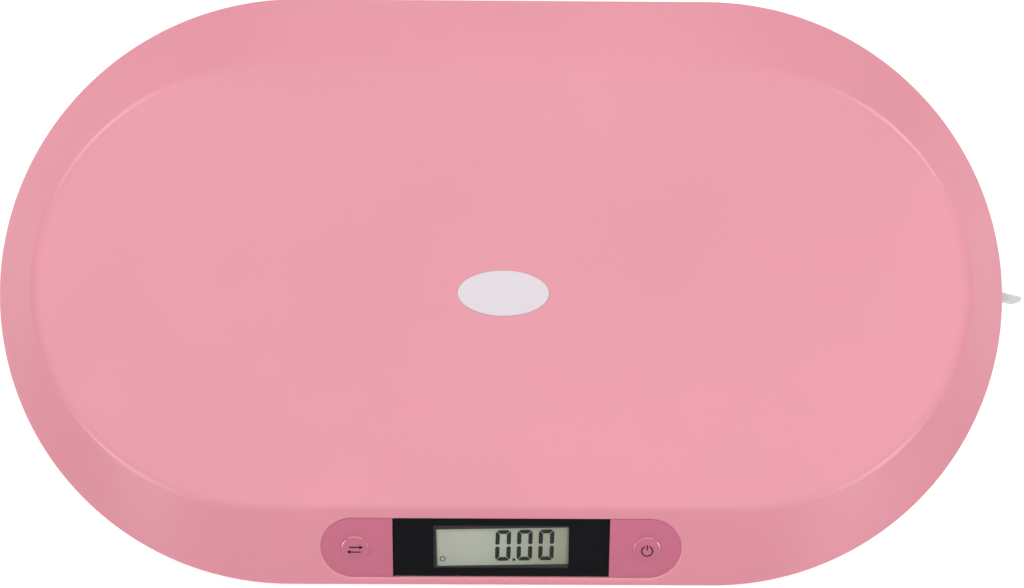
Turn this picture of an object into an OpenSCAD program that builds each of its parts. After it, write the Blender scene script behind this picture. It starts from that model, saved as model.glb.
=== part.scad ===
// Baby weighing scale: dished tray over a lower shell, panel in the front skirt,
// load cells over four feet, battery bay and a pull-out tape at the right end.
// Millimetres, +Z up, -Y is the panel side, the floor is z = 0.

/* [Body] */
// overall length of the tray
body_l = 555; // [545:1:580]
// overall width of the tray
body_w = 325; // [318:1:340]
// breadth of the sloping skirt at the two ends
skirt_end = 23; // [20:0.5:26]
// breadth of the sloping skirt at the front and back
skirt_side = 42.5; // [41:0.5:45]
// height of the crest above the floor
crest_z = 48; // [46:0.5:54]
// depth of the dish below the crest
dish_depth = 9; // [7:0.5:11]
// height of the seam between tray and lower shell
seam_z = 25.5; // [25:0.5:27]
// height of the upright rim under the skirt
rim_h = 3; // [2:0.5:4]
// height of the flat bottom above the floor
base_z = 8; // [8:0.5:9]
// wall of both shells
wall = 2.5; // [2:0.1:3]

/* [Panel] */
// length of the control panel
panel_l = 194.7; // [190:0.1:200]
// height of the control panel along the slope
panel_h = 35.2; // [34.6:0.1:36]
// distance of the panel centre below the crest
panel_down = 24.8; // [24:0.1:25.2]
// depth of the panel face below the skirt
panel_sink = 0.5; // [0.3:0.1:0.8]
// width of the dark window
window_w = 117.3; // [112:0.1:122]
// width of the display opening
lcd_w = 73.2; // [68:0.2:74]
// height of the display opening
lcd_h = 25.6; // [22:0.2:25.8]
// diameter of the two buttons
button_d = 15.5; // [14:0.1:17]
// distance of each button from the end of the panel
button_end = 18.35; // [17.85:0.5:19.35]
// travel of a button
button_travel = 0.5; // [0.3:0.05:0.6]

/* [Feet] */
// distance of the feet from the ends of the tray
foot_end = 107.5; // [102.5:1:112.5]
// distance of the feet from the long edges of the tray
foot_side = 67.5; // [65.5:1:72.5]
// diameter of a foot
foot_d = 32; // [28:1:34]

/* [Batteries] */
// diameter of a cell
cell_d = 10.5; // [10.2:0.1:10.6]
// length of a cell
cell_l = 44.5; // [44:0.1:45]
// number of cells side by side
cell_n = 4; // [3:1:4]

/* [Tape] */
// width of the measuring tape
tape_w = 10; // [8:0.5:10]
// thickness of the measuring tape
tape_t = 0.4; // [0.3:0.05:0.5]
// outer radius of the wound tape
coil_r = 13.8; // [12:0.1:14.5]
// distance the pull tab stands out of the tray
tab_out = 12; // [10:0.5:14]
// skew of the pull tab towards the front
tab_skew = 10; // [0:1:12]

/* [Fits] */
// play between a moving part and its guide, on the radius
run_gap = 0.1; // [0.05:0.01:0.1]
// gap round an inserted part
seat_gap = 0.15; // [0.1:0.05:0.3]
// dry gap between neighbours
air_gap = 0.3; // [0.2:0.05:0.4]

/* [Hidden] */
$fn = 48;

// the part's origin is the middle of its outer box, so the body sits half the tab to the left
frame_x = -tab_out / 2;
end_r = body_w / 2;
end_x = body_l / 2 - end_r;
crest_s = end_x + 10;
crest_a = body_l / 2 - skirt_end - crest_s;
crest_b = end_r - skirt_side;
rim_top = seam_z + rim_h;
slope = atan2(crest_z - rim_top, end_r - crest_b);
dish_z = crest_z - dish_depth;
ring_n = 32;

// lower shell
floor_z = base_z + wall;
base_top = seam_z - air_gap;
shell_r = end_r - 1.5;
bottom_r = end_r - 12.5;
wall_angle = atan2(base_top - base_z, shell_r - bottom_r);
corner_r = 5;
tongue_r = end_r - wall - 0.7;
tongue_in = tongue_r - 1.9;
boss_top = base_top - 1.2;
screw_pos = [
  for (sx = [-1, 1])
    for (p = [[body_l / 2 - 49.5, 50], [end_x + 3, end_r - 36.5]])
      for (sy = [-1, 1])
        [sx * p[0], sy * p[1]]
];

// panel stack, heights measured from the skirt surface along its outward normal
panel_y = -(crest_b + panel_down * cos(slope));
panel_z = crest_z - panel_down * sin(slope);
panel_t = 2.4;
panel_back = -panel_sink - panel_t;
ledge_t = 1.5;
lens_t = 1.2;
mask_t = 0.2;
lens_back = -panel_sink - lens_t;
board_top = panel_back - 5.6;
board_t = 1.6;
board_back = board_top - board_t;
button_x = panel_l / 2 - button_end;
board_l = 2 * button_x + 18;
board_h = 26;
board_boss = [window_w / 2 - 6.5, 8.5];
plug_x = [board_boss[0] - 8, board_boss[0] - 22];
glass_l = lcd_w + 5.7;
glass_h = lcd_h + 0.4;
opening_h = panel_h - 6;
button_y = -0.8;
flange_t = 0.75;

// load cells and feet
cell_plate = 34;
cell_plate_t = 2;
cell_seat_z = base_z + 4;
foot_x = body_l / 2 - foot_end;
foot_y = end_r - foot_side;
rib_x = foot_x - cell_plate / 2 - 18;
foot_pos = [[-foot_x, -foot_y], [foot_x, -foot_y], [-foot_x, foot_y], [foot_x, foot_y]];

// battery bay
bay_pitch = cell_d + 0.7;
bay_w = cell_n * bay_pitch + 0.6;
bay_l = cell_l + 8.6;
bay_y = 45;
door_t = 2;
door_w = bay_w + 7;
door_l = bay_l + 7;
cell_z = base_z + door_t + 0.3 + cell_d / 2;
bay_top = cell_z + cell_d / 2 + 0.6;
hinge_y = bay_y - door_l / 2 + door_t / 2;
hinge_z = base_z + door_t / 2;

// tape
mouth_x = body_l / 2 - 3;
tape_y = -1;
reel_x = body_l / 2 - 45.5;
reel_y = tape_y + coil_r;
hub_r = 8;
flange_r = 17.5;
drum_r = 20.5;
drum_wall = 1.5;
case_floor = floor_z + 0.05;
tape_z = 18;
tape_low = tape_z - tape_w / 2;
tape_top = tape_z + tape_w / 2;
case_top = tape_top + 3;
axle_r = 2;
ear_angles = [50, 170, 262];
ear_r = drum_r + 3.4;

module in_frame() {
  translate([frame_x, 0, 0]) children();
}

module on_panel(z = 0) {
  translate([0, panel_y, panel_z]) rotate([slope, 0, 0]) translate([0, 0, z]) children();
}

// one level of a stadium with elliptic ends, anticlockwise from above
function ring(s, a, b, z, n = ring_n) = [
  for (i = [0 : n]) let (t = -90 + 180 * i / n) [s + a * cos(t), b * sin(t), z],
  for (i = [0 : n]) let (t = 90 + 180 * i / n) [-s + a * cos(t), b * sin(t), z]
];

// closed solid through rings that all have the same number of points
module loft(rings) {
  m = len(rings[0]);
  k = len(rings);
  polyhedron(
    points = [for (r = rings) for (p = r) p],
    faces = concat(
      [[for (i = [0 : m - 1]) i]],
      [[for (i = [m - 1 : -1 : 0]) (k - 1) * m + i]],
      [for (j = [0 : k - 2]) for (i = [0 : m - 1]) let (n = (i + 1) % m) [j * m + i, (j + 1) * m + i, (j + 1) * m + n]],
      [for (j = [0 : k - 2]) for (i = [0 : m - 1]) let (n = (i + 1) % m) [j * m + i, (j + 1) * m + n, j * m + n]]
    )
  );
}

// ring between the crest (f = 0) and the upright rim (f = 1), raised by dz
function skirt_ring(f, dz = 0, n = ring_n) = ring(
  crest_s + (end_x - crest_s) * f,
  crest_a + (end_r - crest_a) * f,
  crest_b + (end_r - crest_b) * f,
  crest_z + (rim_top - crest_z) * f + dz,
  n
);

// ring of the dish at u of the way from its middle to the crest
function dish_h(u) = dish_z + dish_depth * pow(u, 2.4);
function dish_ring(u, dz = 0, n = ring_n) = ring(
  crest_s * u, (crest_a - 1) * u, (crest_b - 1) * u, dish_h(u) + dz, n
);

module stadium(l, h) {
  r = h / 2;
  square([l - h, h], center = true);
  for (sx = [-1, 1])
    translate([sx * (l / 2 - r), 0]) circle(r = r);
}

module bar(l, h, z0, z1) {
  translate([0, 0, z0]) linear_extrude(z1 - z0) stadium(l, h);
}

module block(x0, x1, y0, y1, z0, z1) {
  translate([x0, y0, z0]) cube([x1 - x0, y1 - y0, z1 - z0]);
}

module post(x, y, d, z0, z1) {
  translate([x, y, z0]) cylinder(d = d, h = z1 - z0);
}

// profile swept round a stadium path with its end centres at +-s
module swept(s, half) {
  both = concat(half, [for (i = [len(half) - 1 : -1 : 0]) [-half[i][0], half[i][1]]]);
  for (e = [0, 180])
    rotate([0, 0, e]) translate([s, 0, 0]) rotate([0, 0, -90]) rotate_extrude(angle = 180, $fn = 96) polygon(half);
  translate([-s, 0, 0]) rotate([90, 0, 90]) linear_extrude(2 * s) polygon(both);
}

function unit(v) = v / norm(v);

// unbroken six-sided tube along a path, mitred at the bends
module wire(path, d) {
  k = len(path);
  m = 6;
  dirs = [for (i = [0 : k - 1]) unit(path[min(i + 1, k - 1)] - path[max(i - 1, 0)])];
  pts = [
    for (i = [0 : k - 1]) let (side = unit(cross(dirs[i], [0, 0, 1])), up = cross(side, dirs[i]))
      for (j = [0 : m - 1]) path[i] + d / 2 * (cos(360 * j / m) * side + sin(360 * j / m) * up)
  ];
  polyhedron(
    points = pts,
    faces = concat(
      [[for (j = [0 : m - 1]) j]],
      [[for (j = [m - 1 : -1 : 0]) (k - 1) * m + j]],
      [for (i = [0 : k - 2]) for (j = [0 : m - 1]) [i * m + j, (i + 1) * m + j, (i + 1) * m + (j + 1) % m]],
      [for (i = [0 : k - 2]) for (j = [0 : m - 1]) [i * m + j, (i + 1) * m + (j + 1) % m, i * m + (j + 1) % m]]
    )
  );
}

module screw(d, head_d, head_h, l) {
  difference() {
    union() {
      cylinder(d = d, h = l, $fn = 24);
      translate([0, 0, -head_h]) cylinder(d = head_d, h = head_h, $fn = 24);
    }
    for (a = [0, 90])
      rotate([0, 0, a]) block(-head_d * 0.32, head_d * 0.32, -0.4, 0.4, -head_h - 1, -head_h + 0.9);
  }
}

module tray_cavity() {
  difference() {
    loft(concat(
      [ring(end_x, end_r - wall, end_r - wall, seam_z - 4, 24), ring(end_x, end_r - wall, end_r - wall, seam_z + 1.4, 24)],
      [skirt_ring(0.02, -wall - 0.2, 24)],
      [for (u = [0.96, 0.86, 0.72, 0.55, 0.25]) dish_ring(u, -wall, 24)]
    ));
    for (y = [-62, 0, 62])
      block(-crest_s - crest_a + 44, crest_s + crest_a - 44, y - 0.8, y + 0.8, 30, crest_z);
    for (x = [-165, -110, -55, 0, 55, 110, 165])
      block(x - 0.8, x + 0.8, -crest_b + 14, crest_b - 14, 30.4, crest_z);
    for (p = screw_pos)
      post(p[0], p[1], 8, boss_top + 0.05, crest_z);
    on_panel() bar(panel_l + 3.2, panel_h + 3.2, panel_back - ledge_t, 0);
  }
}

module tray() {
  in_frame() color([0.91, 0.61, 0.67])
    difference() {
      loft(concat(
        [ring(end_x, end_r - 0.6, end_r - 0.6, seam_z), ring(end_x, end_r, end_r, seam_z + 0.6)],
        [skirt_ring(1, -0.6), skirt_ring(0.985, 0.0), skirt_ring(0.94, -0.05)],
        [skirt_ring(0.5), skirt_ring(0.035, -0.05), skirt_ring(0.012, -0.1)],
        [ring(crest_s, crest_a - 0.4, crest_b - 0.4, crest_z)],
        [for (u = [0.996, 0.95, 0.9, 0.82, 0.72, 0.6, 0.45, 0.26]) dish_ring(u)]
      ));
      tray_cavity();
      for (p = screw_pos)
        post(p[0], p[1], 3, boss_top - 1, boss_top + 9);
      on_panel() bar(panel_l + 2 * seat_gap, panel_h + 2 * seat_gap, panel_back, 12);
      on_panel() bar(panel_l - 8, opening_h, panel_back - 6, 1);
      badge_cut();
    }
}

function oval(a, b, n = 48) = [for (i = [0 : n - 1]) [a * cos(360 * i / n), b * sin(360 * i / n)]];

badge_a = 25.1;
badge_b = 12.6;
badge_x = 1.3;

module badge_cut() {
  translate([badge_x, 0, dish_h(0.26) - 0.4]) linear_extrude(2) polygon(oval(badge_a + seat_gap, badge_b + seat_gap));
}

module center_badge() {
  in_frame() color([0.91, 0.87, 0.9])
    translate([badge_x, 0, dish_h(0.26) - 0.4]) linear_extrude(0.7) polygon(oval(badge_a, badge_b));
}

function shell_profile(off, top) = let (
  cx = bottom_r - corner_r * tan(wall_angle / 2),
  cz = base_z + corner_r,
  r = corner_r - off,
  rise = (top - (base_top + off * cos(wall_angle))) / tan(wall_angle)
) concat(
  [[0, base_z + off]],
  [for (i = [0 : 5]) let (t = -90 + wall_angle * i / 5) [cx + r * cos(t), cz + r * sin(t)]],
  [[shell_r - off * sin(wall_angle) + rise, top], [0, top]]
);

module shell_hollow() {
  intersection() {
    swept(end_x, shell_profile(wall, base_top + 4));
    swept(end_x, [[0, 0], [tongue_in, 0], [tongue_in, base_top + 4], [0, base_top + 4]]);
  }
}

module base_shell() {
  difference() {
    union() {
      swept(end_x, shell_profile(0, base_top));
      swept(end_x, [[0, base_top - 3], [tongue_r, base_top - 3], [tongue_r, base_top + 1.2], [0, base_top + 1.2]]);
    }
    shell_hollow();
    // tongue left out behind the panel
    block(-panel_l / 2 - 6, panel_l / 2 + 6, -end_r, -100, base_top, base_top + 5);
  }
}

module cell_seat(p) {
  translate([p[0], p[1], 0]) difference() {
    block(-cell_plate / 2 - 2.4, cell_plate / 2 + 2.4, -cell_plate / 2 - 2.4, cell_plate / 2 + 2.4, floor_z - 0.5, cell_seat_z + 2.5);
    block(-cell_plate / 2 - 0.4, cell_plate / 2 + 0.4, -cell_plate / 2 - 0.4, cell_plate / 2 + 0.4, cell_seat_z, cell_seat_z + 5);
    block(-cell_plate / 2 + 3, cell_plate / 2 - 3, -cell_plate / 2 + 3, cell_plate / 2 - 3, floor_z - 2, cell_seat_z + 5);
  }
}

module bay_outer() {
  block(-door_w / 2 - 2, door_w / 2 + 2, bay_y - door_l / 2 - 2, bay_y + door_l / 2 + 2, base_z, base_z + 4);
  block(-bay_w / 2 - 1.6, bay_w / 2 + 1.6, bay_y - bay_l / 2 - 1.6, bay_y + bay_l / 2 + 1.6, base_z, bay_top + 1.6);
}

module bay_inner() {
  block(-bay_w / 2, bay_w / 2, bay_y - bay_l / 2, bay_y + bay_l / 2, base_z - 1, bay_top);
  block(
    -door_w / 2 - 0.2, door_w / 2 + 0.2, hinge_y - door_t / 2 - 0.3, bay_y + door_l / 2 + 0.2,
    base_z - 1, base_z + door_t + 0.1
  );
  // hinge bores and the finger notch
  translate([-door_w / 2 - 1.8, hinge_y, hinge_z]) rotate([0, 90, 0]) cylinder(d = 1.6 + 2 * run_gap, h = door_w + 3.6, $fn = 24);
  post(0, bay_y + door_l / 2 + 1.5, 14, base_z - 1, base_z + 1.4);
}

module base() {
  in_frame() color([0.9, 0.6, 0.66])
    difference() {
      union() {
        base_shell();
        for (p = screw_pos)
          post(p[0], p[1], 9.4, floor_z - 0.5, boss_top);
        for (p = foot_pos)
          cell_seat(p);
        bay_outer();
        for (y = [-foot_y + cell_plate / 2 + 18, foot_y + 5])
          block(-rib_x, rib_x, y - 0.8, y + 0.8, floor_z - 0.5, floor_z + 3.5);
        for (x = [-rib_x, -62, 62, rib_x])
          block(x - 0.8, x + 0.8, -foot_y - 5, foot_y + 15, floor_z - 0.5, floor_z + 3);
        for (a = ear_angles)
          translate([reel_x, reel_y, 0]) rotate([0, 0, a]) post(ear_r, 0, 6, floor_z - 0.5, case_floor + 3.5);
      }
      for (p = screw_pos) {
        post(p[0], p[1], 6.6, base_z - 1, base_z + 8);
        post(p[0], p[1], 3.2, base_z, boss_top + 1);
      }
      for (p = foot_pos)
        post(p[0], p[1], 11, base_z - 1, floor_z + 0.2);
      bay_inner();
      for (a = ear_angles)
        translate([reel_x, reel_y, 0]) rotate([0, 0, a]) post(ear_r, 0, 2.1, base_z + 1.5, case_floor + 5);
      block(mouth_x - 16, mouth_x + 12, tape_y - 4 - seat_gap, tape_y + 4 + seat_gap, floor_z, base_top + 5);
    }
}

module control_panel() {
  in_frame() color([0.78, 0.44, 0.54])
    on_panel() difference() {
      union() {
        bar(panel_l, panel_h, panel_back, -panel_sink);
        for (sx = [-1, 1]) {
          for (sy = [-1, 1])
            post(sx * board_boss[0], sy * board_boss[1], 5.5, board_top, panel_back + 0.2);
          for (sy = [0, 180])
            rotate([0, 0, sy]) snap_hook(sx * (window_w / 2 + 3.6));
        }
      }
      block(-window_w / 2 - 0.05, window_w / 2 + 0.05, -panel_h, panel_h, lens_back - mask_t - 0.05, 5);
      block(-glass_l / 2 - 2.9, glass_l / 2 + 2.9, -glass_h / 2 - 1.5, glass_h / 2 + 1.5, panel_back - 5, 0);
      for (sx = [-1, 1]) {
        post(sx * button_x, button_y, button_d + 2 * run_gap, panel_back - 1, 5);
        for (sy = [-1, 1])
          post(sx * board_boss[0], sy * board_boss[1], 2, board_top - 1, board_top + 5);
      }
    }
}

// hook behind the ledge of the tray
module snap_hook(x) {
  y = opening_h / 2 - 0.15;
  translate([x - 4, 0, 0]) rotate([90, 0, 90]) linear_extrude(8)
    polygon([
      [y - 1.2, panel_back + 0.2], [y, panel_back + 0.2], [y, panel_back - ledge_t - 0.05],
      [y + 0.9, panel_back - ledge_t - 0.05], [y, panel_back - ledge_t - 1.9], [y - 1.2, panel_back - ledge_t - 1.9]
    ]);
}

module display_lens() {
  in_frame() color([0.2, 0.22, 0.24, 0.6])
    on_panel() block(-window_w / 2, window_w / 2, -panel_h / 2, panel_h / 2, lens_back, -panel_sink);
}

module lens_mask() {
  in_frame() color([0.1, 0.1, 0.11])
    on_panel() difference() {
      block(-window_w / 2, window_w / 2, -panel_h / 2, panel_h / 2, lens_back - mask_t - 0.02, lens_back - 0.02);
      block(-lcd_w / 2, lcd_w / 2, -lcd_h / 2, lcd_h / 2, lens_back - 1, 0);
    }
}

module lcd_frame() {
  in_frame() color([0.27, 0.27, 0.3])
    on_panel() difference() {
      block(-glass_l / 2 - 2.4, glass_l / 2 + 2.4, -glass_h / 2 - 1.2, glass_h / 2 + 1.2, board_top + 0.05, panel_back + 0.6);
      block(-glass_l / 2 - 0.6, glass_l / 2 + 0.6, -glass_h / 2 - 0.2, glass_h / 2 + 0.2, board_top - 1, panel_back - 0.15);
      block(-lcd_w / 2 + 1.6, lcd_w / 2 + 0.6, -lcd_h / 2 + 2, lcd_h / 2 + 0.1, panel_back - 1, 0);
    }
}

module lcd_glass() {
  in_frame() color([0.69, 0.71, 0.63])
    on_panel() block(-glass_l / 2, glass_l / 2, -glass_h / 2, glass_h / 2, panel_back - 2.3, panel_back - 0.2);
}

module zebra_strips() {
  in_frame() color([0.85, 0.8, 0.75])
    on_panel() for (sy = [-1, 1])
      translate([0, sy * (glass_h / 2 - 1.4), 0])
        block(-glass_l / 2 + 2.6, glass_l / 2 - 2.6, -1, 1, board_top, panel_back - 2.3);
}

module main_board() {
  in_frame() color([0.12, 0.4, 0.24])
    on_panel() difference() {
      block(-board_l / 2, board_l / 2, -board_h / 2, board_h / 2, board_back, board_top);
      for (sx = [-1, 1])
        for (sy = [-1, 1])
          post(sx * board_boss[0], sy * board_boss[1], 2.4, board_back - 1, board_top + 1);
    }
}

module cob_chip() {
  in_frame() color([0.08, 0.08, 0.08])
    on_panel() translate([0, 0, board_back]) rotate([180, 0, 0])
      rotate_extrude() polygon([[0, 0], [7, 0], [6.6, 0.8], [5.4, 1.5], [3.2, 2], [0, 2.2]]);
}

module board_connectors() {
  in_frame() color([0.93, 0.92, 0.88])
    on_panel() for (x = [-plug_x[0], -plug_x[1], plug_x[1], plug_x[0]])
      difference() {
        block(x - 5, x + 5, -4, 2, board_back - 4, board_back);
        block(x - 4, x + 4, -3, 1, board_back - 5, board_back - 1.2);
      }
}

module switch_body(x) {
  on_panel() difference() {
    block(x - 3, x + 3, button_y - 3, button_y + 3, board_top, board_top + 3.3);
    post(x, button_y, 3.4 + 2 * run_gap, board_top + 1.4, board_top + 5);
  }
}

module switch_plunger(x) {
  on_panel() post(x, button_y, 3.4, board_top + 2.2, panel_back - 1.75);
}

// dome proud of the panel, with a keeper flange behind it and a stem to the switch
module button_cap(x) {
  r = button_d / 2;
  top = -panel_sink + 1;
  edge = -panel_sink + 0.35;
  on_panel() translate([x, button_y, 0])
    rotate_extrude() polygon(concat(
      [[0, panel_back - 1.75], [2.5, panel_back - 1.75], [2.5, panel_back - 0.05 - flange_t]],
      [[r + 1.3, panel_back - 0.05 - flange_t], [r + 1.3, panel_back - 0.05], [r, panel_back - 0.05]],
      [for (i = [0 : 8]) let (t = i / 8) [r * (1 - t), edge + (top - edge) * (1 - pow(1 - t, 2))]]
    ));
}

module unit_switch() {
  in_frame() color([0.15, 0.15, 0.16]) switch_body(-button_x);
}

module tare_switch() {
  in_frame() color([0.15, 0.15, 0.16]) switch_body(button_x);
}

module unit_plunger() {
  in_frame() color([0.75, 0.74, 0.7]) switch_plunger(-button_x);
}

module tare_plunger() {
  in_frame() color([0.75, 0.74, 0.7]) switch_plunger(button_x);
}

module unit_button() {
  in_frame() color([0.79, 0.45, 0.55]) button_cap(-button_x);
}

module tare_button() {
  in_frame() color([0.79, 0.45, 0.55]) button_cap(button_x);
}

module board_screws() {
  in_frame() color([0.7, 0.7, 0.72])
    on_panel(board_back) for (sx = [-1, 1])
      for (sy = [-1, 1])
        translate([sx * board_boss[0], sy * board_boss[1], 0]) screw(1.9, 3.8, 1.3, 5.2);
}

module load_cell(i) {
  p = foot_pos[i];
  h = cell_plate / 2;
  in_frame() color([0.66, 0.67, 0.69])
    translate([p[0], p[1], cell_seat_z]) linear_extrude(cell_plate_t) difference() {
      square(cell_plate, center = true);
      difference() {
        translate([-h + 5, -10]) square([cell_plate - 10, 20]);
        translate([-h + 4, -7]) square([cell_plate - 11, 14]);
      }
    }
}

module load_cell_fl() { load_cell(0); }
module load_cell_fr() { load_cell(1); }
module load_cell_bl() { load_cell(2); }
module load_cell_br() { load_cell(3); }

module strain_gauges() {
  in_frame() color([0.93, 0.93, 0.9])
    for (p = foot_pos)
      translate([p[0] - 10, p[1], cell_seat_z + cell_plate_t]) linear_extrude(0.9) stadium(10, 6);
}

module foot(i) {
  p = foot_pos[i];
  in_frame() color([0.86, 0.86, 0.87])
    translate([p[0], p[1], 0]) rotate_extrude()
      polygon([
        [0, 2.2], [foot_d / 2 - 3, 2.2], [foot_d / 2 - 3, 1.4], [foot_d / 2 - 0.8, 1.4], [foot_d / 2, 2.2],
        [foot_d / 2, base_z - 1.4], [foot_d / 2 - 0.8, base_z - 0.6], [4.8, base_z - 0.6], [4.8, cell_seat_z],
        [0, cell_seat_z]
      ]);
}

module foot_fl() { foot(0); }
module foot_fr() { foot(1); }
module foot_bl() { foot(2); }
module foot_br() { foot(3); }

module foot_pad(i) {
  p = foot_pos[i];
  r = foot_d / 2 - 3.2;
  in_frame() color([0.5, 0.5, 0.52])
    translate([p[0], p[1], 0]) rotate_extrude() polygon([[0, 0], [r - 0.6, 0], [r, 0.6], [r, 2.2], [0, 2.2]]);
}

module foot_pad_fl() { foot_pad(0); }
module foot_pad_fr() { foot_pad(1); }
module foot_pad_bl() { foot_pad(2); }
module foot_pad_br() { foot_pad(3); }

module battery_door() {
  in_frame() color([0.9, 0.6, 0.66])
    difference() {
      union() {
        block(-door_w / 2, door_w / 2, hinge_y, bay_y + door_l / 2, base_z, base_z + door_t);
        translate([-door_w / 2, hinge_y, hinge_z]) rotate([0, 90, 0]) cylinder(d = door_t, h = door_w, $fn = 24);
        translate([-door_w / 2 - 1.6, hinge_y, hinge_z]) rotate([0, 90, 0]) cylinder(d = 1.6, h = door_w + 3.2, $fn = 24);
      }
      for (i = [0 : 2])
        block(-8, 8, bay_y + door_l / 2 - 9 + 2.4 * i, bay_y + door_l / 2 - 8 + 2.4 * i, base_z - 1, base_z + 0.5);
    }
}

module battery(i) {
  up = i % 2 == 0 ? 1 : -1;
  x = (i - (cell_n - 1) / 2) * bay_pitch;
  in_frame() color([0.3, 0.32, 0.36])
    if (i < cell_n)
      translate([x, bay_y + up * (cell_l / 2 - 0.8), cell_z]) rotate([up * 90, 0, 0])
        rotate_extrude() polygon([
          [0, -0.8], [1.9, -0.8], [1.9, 0], [cell_d / 2 - 0.6, 0], [cell_d / 2, 0.6],
          [cell_d / 2, cell_l - 1.4], [cell_d / 2 - 0.6, cell_l - 0.8], [0, cell_l - 0.8]
        ]);
}

module battery_1() { battery(0); }
module battery_2() { battery(1); }
module battery_3() { battery(2); }
module battery_4() { battery(3); }

// tapering coil from a seat of radius r0 to a tip of radius r1, one unbroken tube
module coil_spring(r0, r1, l, turns, d) {
  n = turns * 10;
  m = 5;
  pts = [
    for (i = [0 : n]) let (f = i / n, a = 360 * turns * f, r = r0 + (r1 - r0) * f)
      for (k = [0 : m - 1]) let (b = 360 * k / m)
        [(r + d / 2 * cos(b)) * cos(a), (r + d / 2 * cos(b)) * sin(a), d / 2 + (l - d) * f + d / 2 * sin(b)]
  ];
  polyhedron(
    points = pts,
    faces = concat(
      [[for (k = [0 : m - 1]) k]],
      [[for (k = [m - 1 : -1 : 0]) n * m + k]],
      [for (i = [0 : n - 1]) for (k = [0 : m - 1]) [i * m + k, (i + 1) * m + k, (i + 1) * m + (k + 1) % m]],
      [for (i = [0 : n - 1]) for (k = [0 : m - 1]) [i * m + k, (i + 1) * m + (k + 1) % m, i * m + (k + 1) % m]]
    )
  );
}

module battery_springs() {
  in_frame() color([0.8, 0.8, 0.78])
    for (i = [0 : cell_n - 1]) {
      up = i % 2 == 0 ? 1 : -1;
      x = (i - (cell_n - 1) / 2) * bay_pitch;
      translate([x, bay_y - up * (bay_l / 2 - 0.7), cell_z]) rotate([-up * 90, 0, 0])
        coil_spring(3.9, 2.2, bay_l / 2 - 0.75 - cell_l / 2, 4, 0.6);
    }
}

module battery_plates() {
  in_frame() color([0.78, 0.78, 0.76])
    for (i = [0 : cell_n - 1]) {
      x = (i - (cell_n - 1) / 2) * bay_pitch;
      for (sy = [-1, 1])
        translate([x, bay_y + sy * (bay_l / 2 - 0.35), cell_z]) {
          block(-4.8, 4.8, -0.3, 0.3, -4.6, 4.6);
          if ((i % 2 == 0 ? 1 : -1) == sy)
            block(-2.2, 2.2, min(-0.3, -sy * (bay_l / 2 - 0.4 - cell_l / 2)), max(0.3, -sy * (bay_l / 2 - 0.4 - cell_l / 2)), -2.2, 2.2);
        }
    }
}

module at_reel() {
  translate([reel_x, reel_y, 0]) children();
}

module tape_case_lower() {
  in_frame() color([0.2, 0.2, 0.22])
    at_reel() difference() {
      union() {
        post(0, 0, 2 * drum_r, case_floor, tape_top + 1.5);
        for (a = ear_angles)
          rotate([0, 0, a]) {
            post(ear_r, 0, 6.4, case_floor + 3.55, case_floor + 5.05);
            block(drum_r - 1, ear_r, -2.4, 2.4, case_floor + 3.55, case_floor + 5.05);
          }
      }
      post(0, 0, 2 * (drum_r - drum_wall), case_floor + 1.2, tape_top + 3);
      for (a = ear_angles)
        rotate([0, 0, a]) post(ear_r, 0, 2.4, case_floor, case_floor + 8);
      block(hub_r, drum_r + 4, -coil_r - 1.2, -coil_r + 1.2, tape_low - 0.6, tape_top + 3);
      post(0, 0, 2 * axle_r, case_floor - 1, case_floor + 3);
    }
}

module tape_case_upper() {
  in_frame() color([0.2, 0.2, 0.22])
    at_reel() difference() {
      union() {
        post(0, 0, 2 * drum_r, tape_top + 1.55, case_top);
        difference() {
          post(0, 0, 2 * (drum_r - drum_wall - 0.1), tape_top + 1.1, case_top - 1);
          post(0, 0, 2 * (drum_r - drum_wall - 0.9), tape_top, case_top - 1);
        }
      }
      post(0, 0, 2 * axle_r, tape_top, case_top + 3);
    }
}

module tape_reel() {
  in_frame() color([0.88, 0.87, 0.83])
    at_reel() difference() {
      union() {
        post(0, 0, 2 * flange_r, tape_low - 1, tape_low - 0.2);
        post(0, 0, 2 * hub_r, tape_low - 1, tape_top + 0.9);
        post(0, 0, 2 * flange_r, tape_top + 0.2, tape_top + 0.9);
      }
      post(0, 0, 2 * (hub_r - 0.9), tape_low - 0.2, tape_top + 0.2);
      post(0, 0, 2 * (axle_r + run_gap), tape_low - 3, tape_top + 3);
    }
}

module tape_coil() {
  in_frame() color([0.93, 0.9, 0.72])
    at_reel() difference() {
      post(0, 0, 2 * (coil_r - 0.3), tape_low, tape_top);
      post(0, 0, 2 * hub_r, tape_low - 1, tape_top + 1);
    }
}

// flat spiral from the axle to the inside of the hub, one unbroken ribbon
module tape_spring() {
  turns = 5;
  n = turns * 20;
  t = 0.25;
  r0 = axle_r + 0.05;
  r1 = hub_r - 0.9 - t - 0.05;
  inner = [for (i = [0 : n]) let (f = i / n, r = r0 + (r1 - r0) * f, a = 360 * turns * f) [r * cos(a), r * sin(a)]];
  outer = [for (i = [n : -1 : 0]) let (f = i / n, r = r0 + t + (r1 - r0) * f, a = 360 * turns * f) [r * cos(a), r * sin(a)]];
  in_frame() color([0.6, 0.62, 0.66])
    at_reel() translate([0, 0, tape_low + 0.3]) linear_extrude(tape_w - 0.6) polygon(concat(inner, outer));
}

module tape_axle() {
  in_frame() color([0.72, 0.72, 0.74])
    at_reel() post(0, 0, 2 * axle_r, case_floor, case_top);
}

module tape_blade() {
  in_frame() color([0.95, 0.93, 0.8])
    block(reel_x, mouth_x + 5.5, tape_y - tape_t / 2, tape_y + tape_t / 2, tape_low, tape_top);
}

// the skewed neck starts clear of the mouth, its tip is tab_out beyond the tray
tab_x = mouth_x + 0.2 + 1.2 * sin(tab_skew);
tab_l = (body_l / 2 + tab_out - tab_x - 0.9 * sin(tab_skew)) / cos(tab_skew);

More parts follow.
